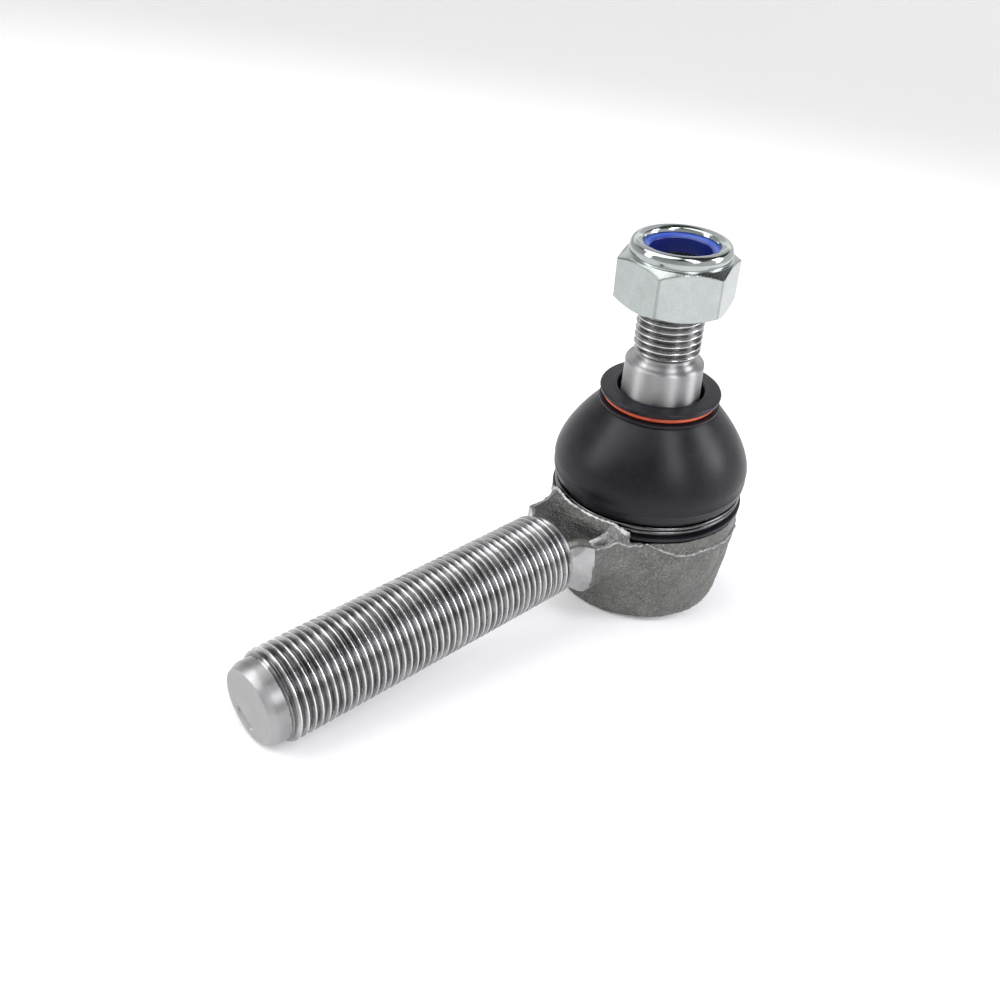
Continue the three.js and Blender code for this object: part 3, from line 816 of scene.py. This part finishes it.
def build_nut(material):
    """The hexagon's side is a grid of angle and height; crown and bore are profiles turned with it."""
    facets = 720
    angle = np.arange(facets) * 2 * math.pi / facets
    sides = np.concatenate([np.linspace(NUT_LOW_Z + 0.02, NUT_LOW_Z + 1.7, 26),
                            np.linspace(NUT_LOW_Z + 2.0, NUT_HEX_TOP_Z - 2.0, 10),
                            np.linspace(NUT_HEX_TOP_Z - 1.7, NUT_HEX_TOP_Z - 0.02, 26)])
    crown = rounded([
        (10.5, NUT_HEX_TOP_Z, 0), (10.15, NUT_HEX_TOP_Z + 0.05, 0.15),
        (10.4, NUT_HEX_TOP_Z + 1.3, 1.2), (9.9, NUT_TOP_Z - 0.35, 1.3),
        (8.9, NUT_TOP_Z - 0.02, 0.9), (7.8, NUT_TOP_Z - 0.45, 0.6),
        (7.5, NUT_TOP_Z - 1.2, 0.25), (7.65, INSERT_TOP_Z - 0.1, 0),
    ], 0.15)
    bore = np.array([(9.3, INSERT_TOP_Z - 0.7), (9.4, INSERT_LOW_Z - 0.3),
                     (7.3, INSERT_LOW_Z - 0.3)])
    turns = int((INSERT_LOW_Z - 0.6 - NUT_LOW_Z - 1.0) / (PITCH / 2))
    grooves = [(7.25 if k % 2 else 7.75, INSERT_LOW_Z - 0.6 - k * PITCH / 2) for k in range(turns)]
    mouth = np.array(grooves + [(7.3, NUT_LOW_Z + 0.9), (8.2, NUT_LOW_Z), (10.3, NUT_LOW_Z)])
    profile = np.vstack([crown, bore, mouth])
    rows = len(sides) + len(profile)
    verts = np.zeros((facets, rows, 3))
    side_r = nut_radius(angle[:, None], sides[None, :])
    r = np.concatenate([side_r, np.tile(profile[:, 0], (facets, 1))], 1)
    z = np.concatenate([sides, profile[:, 1]])
    verts[..., 0] = r * np.cos(angle)[:, None]
    verts[..., 1] = r * np.sin(angle)[:, None]
    verts[..., 2] = z
    faces = turned_quads(facets, rows, closed=True)
    nut = make("lock_nut_hex", verts.reshape(-1, 3), faces, material, "stud", sharp=28)
    # Painted shade along the hexagon's edges.
    mark(nut, "edge", nut_edge_painted_shade)
    return nut


def build_insert(material):
    profile = rounded([
        (6.25, INSERT_LOW_Z, 0), (9.1, INSERT_LOW_Z, 0.2), (9.1, INSERT_TOP_Z - 0.5, 0.2),
        (7.6, INSERT_TOP_Z - 0.02, 0.3), (6.9, INSERT_TOP_Z - 0.05, 0.2),
        (6.25, INSERT_TOP_Z - 0.6, 0.25), (6.25, INSERT_LOW_Z, 0),
    ], 0.12)
    verts, faces = revolve(profile, 144, closed=True)
    return make("nut_insert_ring", verts, faces, material, "stud")


# ------------------------------------------------------------------------ boot

def cone_radius(z):
    """Outside of the boot above its belly."""
    t = (z - BELLY_Z) / (CONE_TOP_Z - BELLY_Z)
    return BELLY_R - (BELLY_R - CONE_TOP_R) * np.maximum(t, 0) ** 1.6


def boot_lower_profile():
    """Collar with its clip groove, undercut, belly with its mould line, and cone up to the seam."""
    collar = rounded([
        (17.75, 23.55, 0), (21.1, 23.55, 0.3), (21.25, 24.3, 0.3), (19.85, 24.5, 0.15),
        (19.85, 27.15, 0.3), (20.5, 27.4, 0.25), (20.95, 28.3, 0.8), (21.2, 29.2, 0.5),
    ], 0.15)
    belly = [(21.21, MOULD_LINE_Z - 0.15), (21.29, MOULD_LINE_Z - 0.05),
             (21.29, MOULD_LINE_Z + 0.05), (21.23, MOULD_LINE_Z + 0.18)]
    belly += [(cone_radius(z), z) for z in np.arange(BELLY_Z, BOOT_SEAM_Z, 0.35)]
    belly.append((cone_radius(BOOT_SEAM_Z), BOOT_SEAM_Z))
    inner = [(cone_radius(z) - BOOT_WALL, z) for z in np.arange(BOOT_SEAM_Z, BELLY_Z, -0.5)]
    inside = rounded([(19.2, BELLY_Z, 0), (18.75, 28.8, 0.5), (18.6, 26.6, 0.3),
                      (17.75, 26.3, 0.3), (17.75, 23.55, 0)], 0.3)
    return np.vstack([collar, belly, inner, inside[:-1]])


def boot_upper_profile():
    """Cone from the seam, lip, ring groove and flange, then down the inside."""
    cone = [(cone_radius(z), z) for z in np.arange(BOOT_SEAM_Z, CONE_TOP_Z - 0.5, 0.35)]
    top = rounded([
        (cone_radius(CONE_TOP_Z - 0.5), CONE_TOP_Z - 0.5, 0), (CONE_TOP_R - 0.1, CONE_TOP_Z, 0.2),
        (12.9, CONE_TOP_Z + 0.15, 0.15), (12.95, CONE_TOP_Z + 0.65, 0.15),
        (10.6, CONE_TOP_Z + 0.8, 0.2), (10.6, FLANGE_LOW_Z - 0.05, 0.2),
        (12.75, FLANGE_LOW_Z, 0.12), (FLANGE_R, FLANGE_TOP_Z - 0.55, 0.2),
        (FLANGE_R - 0.2, FLANGE_TOP_Z - 0.2, 0.2), (10.4, FLANGE_TOP_Z - 0.15, 0.2),
        (9.75, FLANGE_TOP_Z - 0.02, 0.2), (9.3, FLANGE_TOP_Z - 0.15, 0.2), (9.2, 46.4, 0.3),
        (10.6, 45.2, 0.5), (cone_radius(44.0) - BOOT_WALL, 44.0, 0),
    ], 0.15)
    inner = [(cone_radius(z) - BOOT_WALL, z) for z in np.arange(43.6, BOOT_SEAM_Z, -0.5)]
    inner.append((cone_radius(BOOT_SEAM_Z) - BOOT_WALL, BOOT_SEAM_Z))
    return np.vstack([cone, top, inner])


def build_boot(material):
    """Two lengths of the boot, each turned from its profile, with its place baked into its mesh."""
    verts, faces = revolve(boot_lower_profile(), 192, closed=True)
    lower = make("dust_boot_lower", verts, faces, material, sharp=55)
    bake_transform(lower)
    verts, faces = revolve(boot_upper_profile(), 192, closed=True)
    upper = make("dust_boot_upper", verts, faces, material, sharp=55)
    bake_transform(upper)
    return lower, upper


def build_neck_ring(material):
    verts, faces = revolve(arc(RING_R, RING_Z, RING_WIRE_R, 0, 345, 23), 192, closed=True)
    return make("boot_neck_band", verts, faces, material, "boot_top")


def build_clip(material):
    """Two turns of wire, with both ends tucked in."""
    centre_r, wire, first_z, rise, turns = 20.35, 0.4, 24.95, 0.95, 2
    steps, sides = 180 * turns, 14
    verts, faces = [], []
    for i in range(steps + 1):
        t = i / steps
        angle = 2 * math.pi * turns * t
        size = wire * min(1, (0.3 + 40 * t), (0.3 + 40 * (1 - t)))
        for k in range(sides):
            around = 2 * math.pi * k / sides
            r = centre_r + size * math.cos(around)
            z = first_z + rise * turns * t + size * math.sin(around)
            verts.append((r * math.cos(angle), r * math.sin(angle), z))
    for i in range(steps):
        for k in range(sides):
            m = (k + 1) % sides
            faces.append((i * sides + k, (i + 1) * sides + k, (i + 1) * sides + m, i * sides + m))
    faces.append(tuple(range(sides)))
    faces.append(tuple(steps * sides + k for k in range(sides)))
    return make("boot_clip_wire", verts, faces, material, "housing_body")


def build_cover(material):
    """Pressed plate: a shallow dished ring round a flat middle, seen through the rolled lip."""
    top = high("cover_plate")[2]
    outer = high("cover_plate")[0] - 0.02
    profile = rounded([
        (0, 0.0, 0), (6.2, 0.0, 0.4), (6.7, 0.35, 0.4), (8.4, 0.35, 0.4), (8.9, 0.0, 0.4),
        (COVER_BOSS_R - 0.5, 0.0, 0.3), (COVER_BOSS_R, 0.6, 0.3), (COVER_BOSS_R, COVER_STEP_Z, 0),
        (outer, COVER_STEP_Z, 0.2), (outer, top, 0.2), (0, top, 0),
    ], 0.2)
    verts, faces = revolve(filled(profile, 1.2), 144)
    return make("cover_plate_pressed", verts, faces, material, "housing_body")


# ----------------------------------------------------------- floor, lights, camera

# Softboxes: compass angle and height in degrees, width and height in metres, power in watts.
SOFTBOXES = {
    "back_panel": (46, 38, 0.9, 0.5, 1.15),
    "right_softbox": (314, 26, 0.24, 0.35, 2.2),
    "front_strip": (258, 50, 0.17, 0.6, 2.6),
    "left_softbox": (142, 30, 0.2, 0.4, 1.3),
}
LIGHT_DISTANCE = 0.7
MIDDLE = Vector((-0.03, 0, 0.035))


def look_from(obj, place, target, roll=0.0):
    forward = Vector(target) - Vector(place)
    turn = forward.to_track_quat("-Z", "Y").to_matrix().to_4x4()
    obj.matrix_world = Matrix.Translation(place) @ turn @ Matrix.Rotation(roll, 4, "Z")


def add_camera():
    data = bpy.data.cameras.new("camera")
    data.lens = 38.9
    camera = bpy.data.objects.new("camera", data)
    bpy.context.scene.collection.objects.link(camera)
    look_from(camera, (-0.1673, -0.1250, 0.1567), (-0.0228, 0.0237, 0.0171), math.radians(3.4))
    bpy.context.scene.camera = camera


def from_direction(azimuth, elevation, distance):
    """A point at a distance from the middle of the part, by compass angle and height in degrees."""
    a, e = math.radians(azimuth), math.radians(elevation)
    outward = Vector((math.cos(a) * math.cos(e), math.sin(a) * math.cos(e), math.sin(e)))
    return MIDDLE + distance * outward


def add_light(name, kind, azimuth, elevation, energy):
    data = bpy.data.lights.new(name, kind)
    data.energy = energy
    light = bpy.data.objects.new(name, data)
    bpy.context.scene.collection.objects.link(light)
    look_from(light, from_direction(azimuth, elevation, LIGHT_DISTANCE), MIDDLE)
    return data


def add_softbox(name, azimuth, elevation, wide, tall, energy):
    data = add_light(name, "AREA", azimuth, elevation, energy)
    data.color = (0.96, 0.95, 1.0)
    data.shape = "RECTANGLE"
    data.size, data.size_y = wide, tall


def add_floor():
    """Plain pale floor, leaning with the part: it rests on its base's edge and the shank's tip.
    Far from the part the floor rises, so that its edge is out of sight from above."""
    lean = math.atan2(BALL_Z - SHANK_TIP_R - BASE_Z, SHANK_END - BASE_R)
    material = Nodes("floor", Roughness=0.8, Specular_IOR_Level=0.2, Emission_Strength=0.14)
    material.shader.inputs["Base Color"].default_value = (0.85, 0.85, 0.85, 1)
    material.shader.inputs["Emission Color"].default_value = (1, 1, 1, 1)
    rings_m = np.array([(0, 0), (1, 0), (2, 0.05), (3, 0.3), (4, 0.9), (5, 1.9), (6, 3.3)])
    verts, faces = revolve(rings_m / MM, 48)
    floor = make("floor", verts, faces, material.material)
    pivot = Matrix.Translation((-BASE_R * MM, 0, BASE_Z * MM))
    floor.matrix_world = pivot @ Matrix.Rotation(lean, 4, "Y")


def add_world():
    """Dim surroundings, a little darker overhead."""
    world = bpy.data.worlds.new("studio")
    bpy.context.scene.world = world
    world.use_nodes = True
    tree = world.node_tree
    coordinates = tree.nodes.new("ShaderNodeTexCoord")
    parts = tree.nodes.new("ShaderNodeSeparateXYZ")
    ramp = tree.nodes.new("ShaderNodeValToRGB")
    tree.links.new(coordinates.outputs["Generated"], parts.inputs[0])
    tree.links.new(parts.outputs["Z"], ramp.inputs["Fac"])
    for element, (position, level) in zip(ramp.color_ramp.elements, ((0.3, 0.12), (0.9, 0.06))):
        element.position = position
        element.color = (level, level, level * 1.02, 1)
    tree.links.new(ramp.outputs["Color"], tree.nodes["Background"].inputs["Color"])
    tree.nodes["Background"].inputs["Strength"].default_value = 1.0


def add_studio():
    add_world()
    add_floor()
    top = add_light("top_light", "SUN", 140, 62, 2.08)
    top.angle = math.radians(60)
    for name, settings in SOFTBOXES.items():
        add_softbox(name, *settings)
    bpy.context.scene.view_settings.view_transform = "Standard"


# -------------------------------------------------------------------- assembly

steel = forged_look()
# The crest colour is partly a painted highlight; the root colour is painted shade.
shank_steel = rolled_look("shank_steel", "X", 0.75, 0.36, 0.09)
stud_steel = rolled_look("ground_steel", "Z", 0.6, 0.4, 0.06)
rubber = rubber_look()
seat_plastic = seat_look()
wire = wire_look()

pieces = [
    (build_forging(steel), "housing", "forged_steel"),
    (build_shank(shank_steel), "housing", "forged_steel"),
    (build_stud(stud_steel), "ball_stud", "ground_steel"),
    (build_nut(zinc_look()), "lock_nut", "zinc_plate"),
    (build_insert(nylon_look()), "nut_insert", "nylon"),
    (build_neck_ring(ring_look()), "boot_neck_ring", "neck_ring"),
    (build_clip(wire), "boot_base_clip", "clip_wire"),
    (build_cover(cover_look()), "cover_plate", "cover_steel"),
]
pieces += [(part, "dust_boot", "boot_rubber") for part in build_boot(rubber)]
for piece, node, slot in pieces:
    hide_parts(node)

carried = {"upper_ball_seat": seat_plastic, "lower_ball_seat": seat_plastic, "disc_spring": wire}
for node, material in carried.items():
    mesh = frame["nodes"][node].data
    mesh.materials.clear()
    mesh.materials.append(material)

add_camera()
add_studio()
